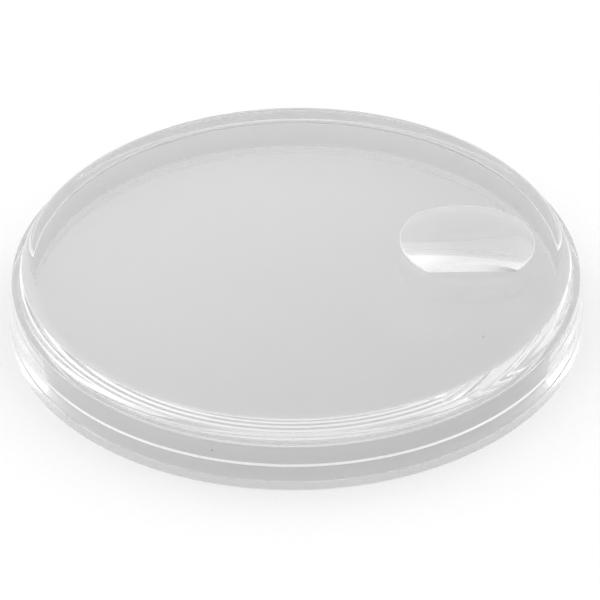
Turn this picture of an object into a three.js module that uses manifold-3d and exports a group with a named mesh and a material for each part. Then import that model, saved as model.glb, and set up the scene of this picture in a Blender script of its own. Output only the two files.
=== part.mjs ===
// Acrylic watch crystal with a date magnifier, at its real size in millimetres.
//
// Frame: +Z is up, the skirt's bottom edge lies in z = 0 and the crystal's axis is the z axis.
// +X points to three o'clock, where the date magnifier sits. -Y points to six o'clock.

import * as THREE from 'three';
import { mergeVertices } from 'three/addons/utils/BufferGeometryUtils.js';
import Module from 'manifold-3d';

const wasm = await Module();
wasm.setup();

// ---- driving dimensions, mm ----

const SEGMENTS = 96; // facets round the crystal
const LENS_SEGMENTS = 48; // facets round the magnifier
const ARC_STEPS = 4; // facets in a quarter-turn rounding
const TOP_STEPS = 8; // facets from the axis to the rim, above and below the plate

const LEDGE_RADIUS = 15.0; // outer edge of the ledge that the bezel presses on
const SKIRT_HEIGHT = 2.76; // from the bottom edge up to the ledge
const SKIRT_FOOT_RADIUS = 15.2; // the skirt flares to this at its bottom edge
const FOOT_ROUNDING = 0.1; // radius of the skirt's outer bottom edge
const BORE_RADIUS = 13.9; // inside of the skirt, which fits over the case neck
const BORE_CHAMFER = 0.06; // lead-in at the bore's bottom edge
const EDGE_BREAK = 0.05; // small chamfer on the ledge's outer edge
const GROOVE_HEIGHT = 1.53; // bottom edge to the fine line turned round the skirt
const GROOVE_WIDTH = 0.16;
const GROOVE_DEPTH = 0.05;

const SHOULDER_FOOT_RADIUS = 14.64; // where the shoulder rises from the ledge
const SHOULDER_TOP_RADIUS = 14.48; // where shoulder and top would meet without their rounding
const RIM_HEIGHT = 3.85; // bottom edge to that meeting
const TOP_BALL_RADIUS = 173.5; // radius of the ball that the domed top is part of
const TOP_ROUNDING = 0.86; // radius between the shoulder and the domed top
const TOP_ROUNDING_STEPS = 8; // facets in it
const PLATE_THICKNESS = 1.78; // domed top to hollow underside
const CORNER_FILLET = 0.1; // radius between the underside and the bore

const LENS_CENTRE_X = 9.08; // from the crystal's axis, towards three o'clock
const LENS_RADIUS = 3.57; // half the magnifier's length
const LENS_HALF_WIDTH = 2.69; // from its middle to each of the two flats
const LENS_BALL_RADIUS = 7.14; // radius of the ball that its dome is part of
const DOME_STEPS = 10; // facets from its rim to the top of its dome
const CEMENT_THICKNESS = 0.05; // film under the magnifier's middle
const CEMENT_OVERLAP = 0.2; // how deep the film's blank is set in before the plate is cut from it

// ---- materials ----

const acrylic = new THREE.MeshStandardMaterial({
  color: 0xdfe1e2,
  roughness: 0.05,
  metalness: 0,
  transparent: true,
  opacity: 0.35,
});
const lensAcrylic = acrylic.clone();
const cement = new THREE.MeshStandardMaterial({
  color: 0xe8e9e8,
  roughness: 0.15,
  metalness: 0,
  transparent: true,
  opacity: 0.3,
});

// ---- outline helpers: every outline is a list of (radius, height) points ----

function arc(centreR, centreZ, radius, fromDeg, toDeg, steps) {
  const points = [];
  for (let i = 0; i <= steps; i++) {
    const angle = THREE.MathUtils.degToRad(fromDeg + ((toDeg - fromDeg) * i) / steps);
    const r = centreR + radius * Math.cos(angle);
    const z = centreZ + radius * Math.sin(angle);
    points.push(new THREE.Vector2(r, z));
  }
  return points;
}

// ---- the domed plate: two balls with one centre on the axis ----

const ballCentreZ = RIM_HEIGHT - Math.sqrt(TOP_BALL_RADIUS ** 2 - SHOULDER_TOP_RADIUS ** 2);
const rimSlope = Math.asin(SHOULDER_TOP_RADIUS / TOP_BALL_RADIUS);

function topHeight(r) {
  return ballCentreZ + Math.sqrt(TOP_BALL_RADIUS ** 2 - r ** 2);
}

function undersideHeight(r) {
  return ballCentreZ + Math.sqrt((TOP_BALL_RADIUS - PLATE_THICKNESS) ** 2 - r ** 2);
}

// From the axis out to the given radius, without that last point.
function outward(heightAt, radius) {
  const points = [];
  for (let i = 0; i < TOP_STEPS; i++) {
    const r = (radius * i) / TOP_STEPS;
    points.push(new THREE.Vector2(r, heightAt(r)));
  }
  return points;
}

// The rounding that touches the sloping shoulder and the domed top.
function topRounding() {
  const run = SHOULDER_FOOT_RADIUS - SHOULDER_TOP_RADIUS;
  const rise = RIM_HEIGHT - SKIRT_HEIGHT;
  const shoulderDeg = THREE.MathUtils.radToDeg(Math.atan2(run, rise));
  const topDeg = 90 - THREE.MathUtils.radToDeg(rimSlope);
  const setback = TOP_ROUNDING * Math.tan(THREE.MathUtils.degToRad((topDeg - shoulderDeg) / 2));
  const centreR = SHOULDER_TOP_RADIUS - setback * Math.cos(rimSlope) - TOP_ROUNDING * Math.sin(rimSlope);
  const centreZ = RIM_HEIGHT + setback * Math.sin(rimSlope) - TOP_ROUNDING * Math.cos(rimSlope);
  return arc(centreR, centreZ, TOP_ROUNDING, shoulderDeg, topDeg, TOP_ROUNDING_STEPS);
}

// The rounding between the hollow underside and the bore.
function boreCorner() {
  const firstR = BORE_RADIUS - CORNER_FILLET * (1 - Math.sin(rimSlope));
  const centreZ = undersideHeight(firstR) - CORNER_FILLET * Math.cos(rimSlope);
  const fromDeg = 90 - THREE.MathUtils.radToDeg(rimSlope);
  return arc(BORE_RADIUS - CORNER_FILLET, centreZ, CORNER_FILLET, fromDeg, 0, ARC_STEPS);
}

// Outer radius of the flared skirt at a height.
function skirtRadius(z) {
  const share = (z - FOOT_ROUNDING) / (SKIRT_HEIGHT - EDGE_BREAK - FOOT_ROUNDING);
  return THREE.MathUtils.lerp(SKIRT_FOOT_RADIUS, LEDGE_RADIUS, share);
}

function skirtGroove() {
  const low = GROOVE_HEIGHT - GROOVE_WIDTH / 2;
  const high = GROOVE_HEIGHT + GROOVE_WIDTH / 2;
  return [
    new THREE.Vector2(skirtRadius(low), low),
    new THREE.Vector2(skirtRadius(GROOVE_HEIGHT) - GROOVE_DEPTH, GROOVE_HEIGHT),
    new THREE.Vector2(skirtRadius(high), high),
  ];
}

// A lathe turns about y, so its result is stood up to turn about z.
function turned(outline, segments) {
  const geometry = new THREE.LatheGeometry(outline, segments);
  geometry.rotateX(Math.PI / 2);
  return geometry;
}

function named(name, geometry, material) {
  const mesh = new THREE.Mesh(geometry, material);
  mesh.name = name;
  return mesh;
}

// ---- boolean helpers ----

function toSolid(geometry) {
  const bare = geometry.clone();
  bare.deleteAttribute('normal');
  bare.deleteAttribute('uv');
  const merged = mergeVertices(bare, 1e-5);
  const vertProperties = Float32Array.from(merged.attributes.position.array);
  const triVerts = Uint32Array.from(merged.index.array);
  return new wasm.Manifold(new wasm.Mesh({ numProp: 3, vertProperties, triVerts }));
}

function toGeometry(solid) {
  const { vertProperties, triVerts } = solid.getMesh();
  const geometry = new THREE.BufferGeometry();
  geometry.setAttribute('position', new THREE.BufferAttribute(vertProperties, 3));
  geometry.setIndex(new THREE.BufferAttribute(triVerts, 1));
  geometry.computeVertexNormals();
  return geometry;
}

// Cuts the two flats, on the magnifier's twelve and six o'clock sides.
function withFlats(geometry) {
  const slab = new THREE.BoxGeometry(4 * LENS_RADIUS, 2 * LENS_HALF_WIDTH, 4 * LENS_RADIUS);
  return toGeometry(toSolid(geometry).intersect(toSolid(slab)));
}

// Lays something made round the z axis on the domed top, square to it, where the magnifier sits.
function laidOnTop(geometry) {
  geometry.rotateY(Math.asin(LENS_CENTRE_X / TOP_BALL_RADIUS));
  geometry.translate(LENS_CENTRE_X, 0, topHeight(LENS_CENTRE_X));
  return geometry;
}

// ---- pieces ----

function crystalGeometry() {
  const footR = SKIRT_FOOT_RADIUS - FOOT_ROUNDING;
  const corner = boreCorner();
  const rounding = topRounding();
  const outline = [
    ...outward(undersideHeight, corner[0].x),
    ...corner,
    new THREE.Vector2(BORE_RADIUS, BORE_CHAMFER),
    new THREE.Vector2(BORE_RADIUS + BORE_CHAMFER, 0),
    ...arc(footR, FOOT_ROUNDING, FOOT_ROUNDING, -90, 0, ARC_STEPS),
    ...skirtGroove(),
    new THREE.Vector2(LEDGE_RADIUS, SKIRT_HEIGHT - EDGE_BREAK),
    new THREE.Vector2(LEDGE_RADIUS - EDGE_BREAK, SKIRT_HEIGHT),
    new THREE.Vector2(SHOULDER_FOOT_RADIUS, SKIRT_HEIGHT),
    ...rounding,
    ...outward(topHeight, rounding[TOP_ROUNDING_STEPS].x).reverse(),
  ];
  return turned(outline, SEGMENTS);
}

// A film with a level top; its underside follows the domed plate.
function lensCement(plate) {
  const outline = [
    new THREE.Vector2(0, -CEMENT_OVERLAP),
    new THREE.Vector2(LENS_RADIUS, -CEMENT_OVERLAP),
    new THREE.Vector2(LENS_RADIUS, CEMENT_THICKNESS),
    new THREE.Vector2(0, CEMENT_THICKNESS),
  ];
  const blank = laidOnTop(withFlats(turned(outline, LENS_SEGMENTS)));
  const film = toGeometry(toSolid(blank).subtract(toSolid(plate)));
  return named('lens_cement', film, cement);
}

// A slice off a ball, with its flat side down and two flats cut on it.
function dateLens() {
  const rimDeg = THREE.MathUtils.radToDeg(Math.acos(LENS_RADIUS / LENS_BALL_RADIUS));
  const centreZ = CEMENT_THICKNESS - Math.sqrt(LENS_BALL_RADIUS ** 2 - LENS_RADIUS ** 2);
  const dome = arc(0, centreZ, LENS_BALL_RADIUS, rimDeg, 90, DOME_STEPS);
  dome[0].set(LENS_RADIUS, CEMENT_THICKNESS);
  dome[DOME_STEPS].x = 0;
  const outline = [new THREE.Vector2(0, CEMENT_THICKNESS), ...dome];
  return named('date_lens', laidOnTop(withFlats(turned(outline, LENS_SEGMENTS))), lensAcrylic);
}

const plate = crystalGeometry();
const watchCrystal = new THREE.Group();
watchCrystal.add(named('crystal', plate, acrylic));
watchCrystal.add(lensCement(plate));
watchCrystal.add(dateLens());

export default watchCrystal;
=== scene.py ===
# Clear acrylic watch crystal with its date magnifier, on a pale studio floor.
# Metres, +Z up, the skirt's bottom edge in z = 0, three o'clock along +X.

import math

import bmesh
import bpy
from mathutils import Matrix, Vector


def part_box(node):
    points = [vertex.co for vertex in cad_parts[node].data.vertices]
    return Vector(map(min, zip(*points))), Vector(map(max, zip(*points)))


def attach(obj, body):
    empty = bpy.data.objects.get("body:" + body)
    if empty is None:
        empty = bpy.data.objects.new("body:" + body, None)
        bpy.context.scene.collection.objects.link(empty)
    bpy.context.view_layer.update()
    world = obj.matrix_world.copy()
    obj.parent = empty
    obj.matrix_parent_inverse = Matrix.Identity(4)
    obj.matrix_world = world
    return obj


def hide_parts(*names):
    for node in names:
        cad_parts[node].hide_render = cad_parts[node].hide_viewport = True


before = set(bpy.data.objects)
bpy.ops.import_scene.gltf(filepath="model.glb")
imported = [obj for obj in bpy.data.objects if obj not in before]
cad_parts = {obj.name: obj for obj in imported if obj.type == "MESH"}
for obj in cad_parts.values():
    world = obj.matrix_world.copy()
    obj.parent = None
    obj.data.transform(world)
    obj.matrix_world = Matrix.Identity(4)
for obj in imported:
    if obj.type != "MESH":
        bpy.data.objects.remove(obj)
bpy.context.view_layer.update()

MM = 0.001

# ---- sizes that the frame gives ----

crystal_low, crystal_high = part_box("crystal")
lens_low, lens_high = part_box("date_lens")

FOOT_RADIUS = (crystal_high[0] - crystal_low[0]) / 2
LENS_HALF_WIDTH = (lens_high[1] - lens_low[1]) / 2      # from its middle to each of its flats

# ---- the other sizes, as on the CAD model ----

LEDGE_RADIUS = 15.0 * MM
SKIRT_HEIGHT = 2.76 * MM
FOOT_ROUNDING = 0.1 * MM
BORE_RADIUS = 13.9 * MM
BORE_CHAMFER = 0.06 * MM
EDGE_BREAK = 0.05 * MM
GROOVE_HEIGHT = 1.53 * MM
GROOVE_WIDTH = 0.16 * MM
GROOVE_DEPTH = 0.05 * MM
SHOULDER_FOOT_RADIUS = 14.64 * MM
SHOULDER_FOOT_FILLET = 0.05 * MM
SHOULDER_TOP_RADIUS = 14.48 * MM
RIM_HEIGHT = 3.85 * MM
TOP_BALL_RADIUS = 173.5 * MM
TOP_ROUNDING = 0.86 * MM
PLATE_THICKNESS = 1.78 * MM
CORNER_FILLET = 0.1 * MM

LENS_CENTRE_X = 9.08 * MM
LENS_RADIUS = 3.57 * MM
LENS_BALL_RADIUS = 7.14 * MM
CEMENT_THICKNESS = 0.05 * MM

SEGMENTS = 720           # round the crystal
LENS_SEGMENTS = 256      # round the magnifier
ARC_STEPS = 12           # in each small rounding
TOP_ROUNDING_STEPS = 40  # in the large rounding at the rim
TOP_STEPS = 20           # axis to rim, above and below the plate
DOME_STEPS = 50          # rim to the top of the magnifier's dome
FILM_STEPS = 8           # middle to edge of the cement film
SHARP_ANGLE = math.radians(20)      # edges over this are shaded as edges


# ---- the domed plate: two balls with one centre on the axis ----

ball_centre_z = RIM_HEIGHT - math.sqrt(TOP_BALL_RADIUS ** 2 - SHOULDER_TOP_RADIUS ** 2)
rim_slope = math.degrees(math.asin(SHOULDER_TOP_RADIUS / TOP_BALL_RADIUS))


def top_height(r):
    return ball_centre_z + math.sqrt(TOP_BALL_RADIUS ** 2 - r ** 2)


def underside_height(r):
    return ball_centre_z + math.sqrt((TOP_BALL_RADIUS - PLATE_THICKNESS) ** 2 - r ** 2)


# The magnifier's own frame: square to the domed top, where the magnifier sits on it.
LENS_FRAME = (Matrix.Translation((LENS_CENTRE_X, 0, top_height(LENS_CENTRE_X)))
              @ Matrix.Rotation(math.asin(LENS_CENTRE_X / TOP_BALL_RADIUS), 4, "Y"))


# ---- outlines, as (radius, height) points ----

def arc(centre_r, centre_z, radius, from_deg, to_deg, steps):
    points = []
    for i in range(steps + 1):
        angle = math.radians(from_deg + (to_deg - from_deg) * i / steps)
        points.append((centre_r + radius * math.cos(angle), centre_z + radius * math.sin(angle)))
    return points


def outward(height_at, radius):
    """From just off the axis out to the given radius, without that last point."""
    return [(radius * i / TOP_STEPS, height_at(radius * i / TOP_STEPS)) for i in range(1, TOP_STEPS)]


def skirt_radius(z):
    """Outer radius of the flared skirt at a height."""
    share = (z - FOOT_ROUNDING) / (SKIRT_HEIGHT - EDGE_BREAK - FOOT_ROUNDING)
    return FOOT_RADIUS + (LEDGE_RADIUS - FOOT_RADIUS) * share


def skirt_groove():
    low = GROOVE_HEIGHT - GROOVE_WIDTH / 2
    high = GROOVE_HEIGHT + GROOVE_WIDTH / 2
    return [(skirt_radius(low), low),
            (skirt_radius(GROOVE_HEIGHT) - GROOVE_DEPTH, GROOVE_HEIGHT),
            (skirt_radius(high), high)]


def shoulder_outline():
    """The fillet at the shoulder's foot, its slope, and the rounding into the domed top."""
    run = SHOULDER_FOOT_RADIUS - SHOULDER_TOP_RADIUS
    lean = math.degrees(math.atan2(run, RIM_HEIGHT - SKIRT_HEIGHT))
    foot_r = SHOULDER_FOOT_RADIUS + SHOULDER_FOOT_FILLET * math.tan(math.radians((90 - lean) / 2))
    foot = arc(foot_r, SKIRT_HEIGHT + SHOULDER_FOOT_FILLET, SHOULDER_FOOT_FILLET,
               270, 180 + lean, ARC_STEPS)
    setback = TOP_ROUNDING * math.tan(math.radians((90 - rim_slope - lean) / 2))
    along, across = math.cos(math.radians(rim_slope)), math.sin(math.radians(rim_slope))
    top_r = SHOULDER_TOP_RADIUS - setback * along - TOP_ROUNDING * across
    top_z = RIM_HEIGHT + setback * across - TOP_ROUNDING * along
    return foot + arc(top_r, top_z, TOP_ROUNDING, lean, 90 - rim_slope, TOP_ROUNDING_STEPS)


def bore_corner():
    first_r = BORE_RADIUS - CORNER_FILLET * (1 - math.sin(math.radians(rim_slope)))
    centre_z = underside_height(first_r) - CORNER_FILLET * math.cos(math.radians(rim_slope))
    return arc(BORE_RADIUS - CORNER_FILLET, centre_z, CORNER_FILLET, 90 - rim_slope, 0, ARC_STEPS)


def crystal_outline():
    """From the underside's middle, down the bore, round the foot and up to the top's middle."""
    corner = bore_corner()
    shoulder = shoulder_outline()
    outline = outward(underside_height, corner[0][0]) + corner
    outline += [(BORE_RADIUS, BORE_CHAMFER), (BORE_RADIUS + BORE_CHAMFER, 0)]
    outline += arc(FOOT_RADIUS - FOOT_ROUNDING, FOOT_ROUNDING, FOOT_ROUNDING, -90, 0, ARC_STEPS)
    outline += skirt_groove()
    outline += arc(LEDGE_RADIUS - EDGE_BREAK, SKIRT_HEIGHT - EDGE_BREAK, EDGE_BREAK, 0, 90, ARC_STEPS)
    outline += shoulder
    return outline + list(reversed(outward(top_height, shoulder[-1][0])))


# ---- mesh helpers ----

def new_object(name, bm):
    mesh = bpy.data.meshes.new(name)
    bm.to_mesh(mesh)
    bm.free()
    mesh.set_sharp_from_angle(angle=SHARP_ANGLE)
    piece = bpy.data.objects.new(name, mesh)
    bpy.context.scene.collection.objects.link(piece)
    return piece


def add_ring(bm, radius, height, segments):
    ring = []
    for i in range(segments):
        angle = 2 * math.pi * i / segments
        ring.append(bm.verts.new((radius * math.cos(angle), radius * math.sin(angle), height)))
    return ring


def bridge(bm, lower, upper, smooth=True):
    """Quads between two rings; they face out where the second ring is above the first."""
    for i in range(len(lower)):
        j = (i + 1) % len(lower)
        face = bm.faces.new((lower[i], lower[j], upper[j], upper[i]))
        face.smooth = smooth


def cap(bm, ring, height):
    """A smooth fan from a ring to a point on the axis."""
    middle = bm.verts.new((0, 0, height))
    for i in range(len(ring)):
        bm.faces.new((ring[i], ring[(i + 1) % len(ring)], middle)).smooth = True


def lens_plan():
    """The magnifier's outline in its own frame: a circle with a flat on each side."""
    flat_angle = math.asin(LENS_HALF_WIDTH / LENS_RADIUS)
    steps = LENS_SEGMENTS // 4
    points = []
    for start in (-flat_angle, math.pi - flat_angle):
        for i in range(steps + 1):
            angle = start + 2 * flat_angle * i / steps
            points.append((LENS_RADIUS * math.cos(angle), LENS_RADIUS * math.sin(angle)))
    return points


# ---- pieces ----

BONDED_FACE = 1          # material index of a face that cement holds


def make_crystal():
    """The turned cap: its whole outline swept once round the axis."""
    bm = bmesh.new()
    rings = [add_ring(bm, r, z, SEGMENTS) for r, z in crystal_outline()]
    for lower, upper in zip(rings, rings[1:]):
        bridge(bm, lower, upper)
    cap(bm, rings[0], underside_height(0))
    cap(bm, rings[-1], top_height(0))
    bmesh.ops.recalc_face_normals(bm, faces=bm.faces)
    return new_object("crystal_clear", bm)


def make_lens():
    """A cap of a ball, with both sides cut off flat, laid square to the domed plate."""
    bm = bmesh.new()
    rim_angle = math.asin(LENS_RADIUS / LENS_BALL_RADIUS)
    centre_z = CEMENT_THICKNESS - LENS_BALL_RADIUS * math.cos(rim_angle)
    rings = []
    for i in range(DOME_STEPS):
        angle = rim_angle * (1 - i / DOME_STEPS)
        radius = LENS_BALL_RADIUS * math.sin(angle)
        height = centre_z + LENS_BALL_RADIUS * math.cos(angle)
        rings.append(add_ring(bm, radius, height, LENS_SEGMENTS))
    for lower, upper in zip(rings, rings[1:]):
        bridge(bm, lower, upper)
    cap(bm, rings[-1], centre_z + LENS_BALL_RADIUS)
    bm.faces.new(list(reversed(rings[0]))).material_index = BONDED_FACE
    for side in (-1, 1):
        cut = bmesh.ops.bisect_plane(bm, geom=bm.verts[:] + bm.edges[:] + bm.faces[:],
                                     plane_co=(0, side * LENS_HALF_WIDTH, 0), plane_no=(0, side, 0),
                                     clear_outer=True)
        edges = [item for item in cut["geom_cut"] if isinstance(item, bmesh.types.BMEdge)]
        bmesh.ops.holes_fill(bm, edges=edges)
    bmesh.ops.transform(bm, matrix=LENS_FRAME, verts=bm.verts)
    bmesh.ops.recalc_face_normals(bm, faces=bm.faces)
    return new_object("date_lens_clear", bm)


def on_plate(x, y):
    """The point of the domed top under a point of the magnifier's own frame."""
    point = LENS_FRAME @ Vector((x, y, 0))
    return Vector((point.x, point.y, top_height(math.hypot(point.x, point.y))))


def make_cement():
    """A film with a level top in the magnifier's frame; its underside follows the domed plate."""
    bm = bmesh.new()
    plan = lens_plan()
    shares = [1 - i / FILM_STEPS for i in range(FILM_STEPS)]
    low = [[bm.verts.new(on_plate(x * share, y * share)) for x, y in plan] for share in shares]
    high = [bm.verts.new(LENS_FRAME @ Vector((x, y, CEMENT_THICKNESS))) for x, y in plan]
    bridge(bm, low[0], high, smooth=False)
    bonded_faces = [bm.faces.new(high)]
    middle = bm.verts.new(on_plate(0, 0))
    for i in range(len(plan)):
        j = (i + 1) % len(plan)
        for outer, inner in zip(low, low[1:]):
            bonded_faces.append(bm.faces.new((outer[j], outer[i], inner[i], inner[j])))
        bonded_faces.append(bm.faces.new((low[-1][j], low[-1][i], middle)))
    for face in bonded_faces:
        face.material_index = BONDED_FACE
    bmesh.ops.recalc_face_normals(bm, faces=bm.faces)
    return new_object("lens_cement_film", bm)


# ---- wiring of nodes ----

class Wiring:
    """Short names for adding and joining the nodes of a material or of the world."""

    def __init__(self, owner):
        owner.use_nodes = True
        self.owner = owner
        self.tree = owner.node_tree
        self.shader = self.tree.nodes.get("Principled BSDF")

    def node(self, kind, **settings):
        node = self.tree.nodes.new(kind)
        for key, value in settings.items():
            setattr(node, key, value)
        return node

    def join(self, source, target):
        self.tree.links.new(source, target)

    def feed(self, node, values):
        """Sets a node's first sockets to numbers, or links them to other nodes' outputs."""
        for socket, value in zip(node.inputs, values):
            if isinstance(value, bpy.types.NodeSocket):
                self.join(value, socket)
            else:
                socket.default_value = value

    def math(self, operation, *values):
        node = self.node("ShaderNodeMath", operation=operation)
        self.feed(node, values)
        return node.outputs[0]

    def near(self, value, target, reach):
        """1 where a value is within reach of its target, and 0 elsewhere."""
        return self.math("COMPARE", value, target, reach)

    def spread(self, value, low, high, new_low, new_high, ease="LINEAR"):
        """Maps low..high to new_low..new_high and holds the ends."""
        node = self.node("ShaderNodeMapRange", interpolation_type=ease)
        self.feed(node, (value, low, high, new_low, new_high))
        return node.outputs["Result"]

    def coords(self):
        return self.node("ShaderNodeTexCoord").outputs["Object"]

    def xyz(self):
        """The object's own coordinates, one by one."""
        parts = self.node("ShaderNodeSeparateXYZ")
        self.join(self.coords(), parts.inputs[0])
        return parts.outputs[0], parts.outputs[1], parts.outputs[2]

    def noise(self, scale, detail, stretch=None):
        """Noise over the object's own coordinates, with features of about 1/scale metres."""
        coords = self.coords()
        if stretch:
            mapping = self.node("ShaderNodeMapping")
            self.join(coords, mapping.inputs["Vector"])
            mapping.inputs["Scale"].default_value = stretch
            coords = mapping.outputs["Vector"]
        noise = self.node("ShaderNodeTexNoise")
        self.join(coords, noise.inputs["Vector"])
        noise.inputs["Scale"].default_value = scale
        noise.inputs["Detail"].default_value = detail
        return noise.outputs["Fac"]

    def grey(self, value):
        colour = self.node("ShaderNodeCombineColor")
        self.feed(colour, (value, value, value))
        return colour.outputs[0]

    def bump(self, height, distance, normal=None):
        bump = self.node("ShaderNodeBump")
        bump.inputs["Strength"].default_value = 1.0
        bump.inputs["Distance"].default_value = distance
        self.join(height, bump.inputs["Height"])
        if normal:
            self.join(normal, bump.inputs["Normal"])
        return bump.outputs[0]


def new_material(name):
    return Wiring(bpy.data.materials.new(name))


def axis_distance(w, x, y, axis_x=0.0):
    """How far a point is from the crystal's axis, or from an upright line further along X."""
    dx = w.math("SUBTRACT", x, axis_x)
    return w.math("SQRT", w.math("ADD", w.math("MULTIPLY", dx, dx), w.math("MULTIPLY", y, y)))


# ---- acrylic ----

ACRYLIC_IOR = 1.49

PLATE_TINT = 0.81            # of every face but the bore
PLATE_TINT_DRIFT = 0.004     # how far it goes up and down, in clouds
TINT_CLOUDS = 260            # per metre
BORE_SHADE_TINT = 0.63             # of the skirt's inside: darker than the rest, painted shade of the floor under the skirt seen through its wall

SPECK_TINT = 0.25            # dust
SPECK_CELLS = 210            # per metre, each with one speck
SPECK_REACH = 0.014          # from a speck's middle to its edge, in cells

POLISH_BUMP = 0.00003 * MM
POLISH_WAVES = 320           # per metre
TURNING_BUMP = 0.00004 * MM
TURNING_RINGS = 9000         # per metre of the skirt's height

HAIRLINES = 900              # per metre
HAIRLINE_STRETCH = (1.0, 14.0, 1.0)
HAIRLINE_START = 0.6         # of the noise's height
HAIRLINE_FULL = 0.78
HAIRLINE_ROUGHNESS = 0.02

MATT_ROUGHNESS = 0.45        # the fine line round the skirt and the magnifier's edge are left matt, and also painted lighter
# tint of the matt line and edge, lighter than the rest: a painted highlight
MATT_HIGHLIGHT_TINT = 0.97
GROOVE_FROST = 0.55          # share of light that the line round the skirt scatters back
LENS_EDGE_FROST = 0.20       # the same, for the magnifier's edge
LENS_EDGE = 0.05 * MM        # how far in from the magnifier's outline the matt edge reaches

NOISE_LOW = 0.3              # where most of a noise's values lie
NOISE_HIGH = 0.7


def skirt_masks(w, x, y, z):
    """1 on the skirt's outside, on its bore and in its groove, one mask for each. Shade is painted on
    the bore; the groove is matt and painted lighter as a highlight.
    """
    distance = axis_distance(w, x, y)
    below_ledge = w.math("LESS_THAN", z, SKIRT_HEIGHT - EDGE_BREAK)
    outside = w.math("GREATER_THAN", distance, LEDGE_RADIUS - GROOVE_DEPTH)
    on_skirt = w.math("MULTIPLY", below_ledge, outside)
    painted_shade_on_bore = w.math("MULTIPLY", w.near(distance, BORE_RADIUS, BORE_CHAMFER / 2), below_ledge)
    in_groove = w.math("MULTIPLY", w.near(z, GROOVE_HEIGHT, GROOVE_WIDTH / 2), outside)
    return on_skirt, painted_shade_on_bore, in_groove


def on_lens_edge(w, x, y):
    distance = axis_distance(w, x, y, LENS_CENTRE_X)
    near_round = w.math("GREATER_THAN", distance, LENS_RADIUS - LENS_EDGE)
    near_flat = w.math("GREATER_THAN", w.math("ABSOLUTE", y), LENS_HALF_WIDTH - LENS_EDGE)
    return w.math("MAXIMUM", near_round, near_flat)


def with_specks(w, tint):
    """The tint, with a few specks of dust in it."""
    cells = w.node("ShaderNodeTexVoronoi", feature="F1")
    w.join(w.coords(), cells.inputs["Vector"])
    cells.inputs["Scale"].default_value = SPECK_CELLS
    speck = w.math("LESS_THAN", cells.outputs["Distance"], SPECK_REACH)
    clean = w.math("SUBTRACT", 1.0, speck)
    return w.math("ADD", w.math("MULTIPLY", tint, clean), w.math("MULTIPLY", speck, SPECK_TINT))


def turning_rings(w, z, on_skirt):
    rings = w.node("ShaderNodeTexNoise", noise_dimensions="1D")
    rings.inputs["Scale"].default_value = 1.0
    w.join(w.math("MULTIPLY", z, TURNING_RINGS), rings.inputs["W"])
    return w.math("MULTIPLY", rings.outputs["Fac"], on_skirt)


def clear_acrylic(name, skirted):
    """Polished clear acrylic: faint polish waves, hairline roughness and a few dust specks.

    A skirted piece also gets fine turning rings, a bore painted darker as shade, and a matt line on
    its skirt that is also painted lighter as a highlight. The others, which make up the magnifier,
    get a fine matt edge, also painted lighter as a highlight.
    """
    w = new_material(name)
    w.shader.inputs["IOR"].default_value = ACRYLIC_IOR
    x, y, z = w.xyz()
    tint = w.spread(w.noise(TINT_CLOUDS, 3), NOISE_LOW, NOISE_HIGH,
                    PLATE_TINT - PLATE_TINT_DRIFT, PLATE_TINT + PLATE_TINT_DRIFT)
    normal = w.bump(w.noise(POLISH_WAVES, 2), POLISH_BUMP)
    if skirted:
        on_skirt, painted_shade_on_bore, matt_and_highlight = skirt_masks(w, x, y, z)
        frost = GROOVE_FROST
        # the bore is tinted darker: painted shade of the floor under the skirt
        tint = w.math("ADD", tint, w.math("MULTIPLY", painted_shade_on_bore, BORE_SHADE_TINT - PLATE_TINT))
        normal = w.bump(turning_rings(w, z, on_skirt), TURNING_BUMP, normal)
    else:
        matt_and_highlight = on_lens_edge(w, x, y)
        frost = LENS_EDGE_FROST
    # the matt line and edge are painted lighter: a painted highlight
    tint = w.math("ADD", tint, w.math("MULTIPLY", matt_and_highlight, MATT_HIGHLIGHT_TINT - PLATE_TINT))
    w.join(w.grey(with_specks(w, tint)), w.shader.inputs["Base Color"])

    hairlines = w.noise(HAIRLINES, 4, HAIRLINE_STRETCH)
    roughness = w.spread(hairlines, HAIRLINE_START, HAIRLINE_FULL, 0.0, HAIRLINE_ROUGHNESS)
    roughness = w.math("ADD", roughness, w.math("MULTIPLY", matt_and_highlight, MATT_ROUGHNESS))
    w.join(roughness, w.shader.inputs["Roughness"])
    clear = w.math("SUBTRACT", 1.0, w.math("MULTIPLY", matt_and_highlight, frost))
    w.join(clear, w.shader.inputs["Transmission Weight"])
    w.join(normal, w.shader.inputs["Normal"])
    return w


def let_through_under_lens(w):
    """Where the cement holds the domed top, light passes straight through it."""
    x, y, z = w.xyz()
    in_circle = w.math("LESS_THAN", axis_distance(w, x, y, LENS_CENTRE_X), LENS_RADIUS)
    in_flats = w.math("LESS_THAN", w.math("ABSOLUTE", y), LENS_HALF_WIDTH)
    on_top = w.math("GREATER_THAN", z, SKIRT_HEIGHT)
    held = w.math("MULTIPLY", w.math("MULTIPLY", in_circle, in_flats), on_top)
    mix = w.node("ShaderNodeMixShader")
    straight_through = w.node("ShaderNodeBsdfTransparent")
    w.feed(mix, (held, w.shader.outputs[0], straight_through.outputs[0]))
    w.join(mix.outputs[0], w.tree.nodes["Material Output"].inputs[0])


def bonded_face():
    """Where cement joins two acrylic faces, light passes straight through."""
    w = new_material("bonded_face")
    w.tree.nodes.remove(w.shader)
    straight_through = w.node("ShaderNodeBsdfTransparent")
    w.join(straight_through.outputs[0], w.tree.nodes["Material Output"].inputs[0])
    return w


def place(piece, node, looks):
    for look in looks:
        piece.data.materials.append(look.owner)
    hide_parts(node)
    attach(piece, "root")


bonded = bonded_face()
crystal_acrylic = clear_acrylic("acrylic", skirted=True)
let_through_under_lens(crystal_acrylic)
lens_acrylic = clear_acrylic("lens_acrylic", skirted=False)
cement = clear_acrylic("cement", skirted=False)

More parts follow.
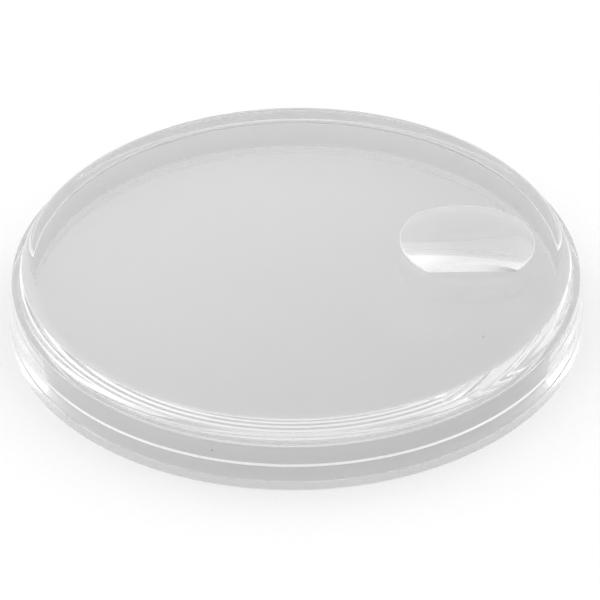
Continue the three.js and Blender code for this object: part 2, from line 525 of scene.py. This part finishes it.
place(make_crystal(), "crystal", [crystal_acrylic])
place(make_lens(), "date_lens", [lens_acrylic, bonded])
place(make_cement(), "lens_cement", [cement, bonded])


# ---- camera ----

CAMERA_TURN = math.radians(-4.1)       # three o'clock points this far up from the picture's right
CAMERA_ELEVATION = math.radians(35.7)
CAMERA_ROLL = math.radians(-0.7)
CAMERA_DISTANCE = 316.5 * MM
LENS_LENGTH = 360                      # mm
SENSOR_WIDTH = 36                      # mm
NEAREST_SEEN = 10 * MM
AIM_RIGHT = 0.22 * MM                  # from the ledge's centre to the picture's centre
AIM_UP = -1.39 * MM

# Turns (right, back, up) in the camera's picture into the crystal's own X, Y and Z.
FROM_PICTURE = Matrix.Rotation(CAMERA_TURN, 3, "Z")


def make_camera():
    data = bpy.data.cameras.new("camera")
    data.lens = LENS_LENGTH
    data.sensor_width = SENSOR_WIDTH
    data.clip_start = NEAREST_SEEN
    camera = bpy.data.objects.new("camera", data)
    bpy.context.scene.collection.objects.link(camera)
    ledge_centre = Vector((0, 0, SKIRT_HEIGHT))
    turn = Matrix.Rotation(CAMERA_TURN, 4, "Z")
    tilt = Matrix.Rotation(math.pi / 2 - CAMERA_ELEVATION, 4, "X")
    roll = Matrix.Rotation(CAMERA_ROLL, 4, "Z")
    back_off = Matrix.Translation((AIM_RIGHT, AIM_UP, CAMERA_DISTANCE))
    camera.matrix_world = Matrix.Translation(ledge_centre) @ turn @ tilt @ roll @ back_off
    bpy.context.scene.camera = camera


make_camera()


# ---- floor ----

FLOOR_REACH = 1.0                    # metres, from its middle to each side
FLOOR_GAP = 0.01 * MM                # under the skirt's foot
FLOOR_GREY = 0.90
FLOOR_GREY_DRIFT = 0.006             # how far the paper's grain goes up and down
FLOOR_ROUGHNESS = 0.9
PAPER_GRAIN = 2500                   # per metre
PAINTED_SHADE_SLOPE = (-0.55, 0.83, 0)     # the way the painted shade gets lighter: right, back, up
# painted shade under the crystal, as a share of the paper's grey, at its darkest and its lightest
PAINTED_SHADE_LOW = 0.86
PAINTED_SHADE_HIGH = 1.06
PAINTED_SHADE_FADE = 1 * MM                # how far inside the bore the painted shade starts to fade out


def floor_painted_shade(w):
    """Painted shade under the crystal: the paper is a little darker towards the camera and towards
    the right, and a little lighter at the far side.
    """
    x, y, _ = w.xyz()
    slope = FROM_PICTURE @ Vector(PAINTED_SHADE_SLOPE)
    along = w.math("ADD", w.math("MULTIPLY", x, slope.x), w.math("MULTIPLY", y, slope.y))
    shade = w.spread(along, -BORE_RADIUS, BORE_RADIUS, PAINTED_SHADE_LOW, PAINTED_SHADE_HIGH)
    covered = w.spread(axis_distance(w, x, y), BORE_RADIUS - PAINTED_SHADE_FADE, LEDGE_RADIUS, 1.0, 0.0)
    return w.math("ADD", 1.0, w.math("MULTIPLY", covered, w.math("SUBTRACT", shade, 1.0)))


def make_floor():
    bm = bmesh.new()
    bmesh.ops.create_grid(bm, x_segments=1, y_segments=1, size=FLOOR_REACH)
    floor = new_object("floor", bm)
    floor.location.z = -FLOOR_GAP
    w = new_material("floor_paper")
    w.shader.inputs["Roughness"].default_value = FLOOR_ROUGHNESS
    w.shader.inputs["Specular IOR Level"].default_value = 0.0
    grain = w.spread(w.noise(PAPER_GRAIN, 3), NOISE_LOW, NOISE_HIGH,
                     FLOOR_GREY - FLOOR_GREY_DRIFT, FLOOR_GREY + FLOOR_GREY_DRIFT)
    # the paper's grain, times the painted shade under the crystal
    w.join(w.grey(w.math("MULTIPLY", grain, floor_painted_shade(w))), w.shader.inputs["Base Color"])
    floor.data.materials.append(w.owner)


make_floor()


# ---- light: a white tent all round ----

SKY_LIGHT = 1.14

# Patches of the tent: azimuth from straight behind the crystal towards the right, elevation,
# degrees from the middle to where it starts to fade and to where it ends, and its share of
# SKY_LIGHT.
TENT_PATCHES = (
    (0, 30, 14, 34, 0.92),
    (180, 10, 30, 75, 0.85),
    (-47, 36, 8, 30, 1.25),
    (42, 38, 8, 30, 1.25),
)


def make_tent():
    """White all round, dimmer low down behind and before the crystal, brighter at two patches."""
    world = bpy.data.worlds.new("studio")
    bpy.context.scene.world = world
    w = Wiring(world)
    direction = w.node("ShaderNodeTexCoord").outputs["Generated"]
    strength = SKY_LIGHT
    for azimuth, elevation, inner, outer, share in TENT_PATCHES:
        across = math.radians(azimuth)
        up = math.radians(elevation)
        middle = Vector((math.sin(across) * math.cos(up),
                         math.cos(across) * math.cos(up),
                         math.sin(up)))
        facing = w.node("ShaderNodeVectorMath", operation="DOT_PRODUCT")
        w.feed(facing, (direction, FROM_PICTURE @ middle))
        patch = w.spread(facing.outputs["Value"], math.cos(math.radians(outer)),
                         math.cos(math.radians(inner)), 1.0, share, ease="SMOOTHSTEP")
        strength = w.math("MULTIPLY", patch, strength)
    background = w.tree.nodes["Background"]
    background.inputs["Color"].default_value = (1, 1, 1, 1)
    w.join(strength, background.inputs["Strength"])


make_tent()


# ---- how light is followed through the acrylic ----

BOUNCES = 64

scene = bpy.context.scene
scene.view_settings.view_transform = "Standard"
scene.cycles.use_denoising = True
scene.cycles.max_bounces = BOUNCES
scene.cycles.transmission_bounces = BOUNCES
scene.cycles.glossy_bounces = BOUNCES
scene.cycles.transparent_max_bounces = BOUNCES
scene.cycles.sample_clamp_indirect = 0
scene.cycles.blur_glossy = 0
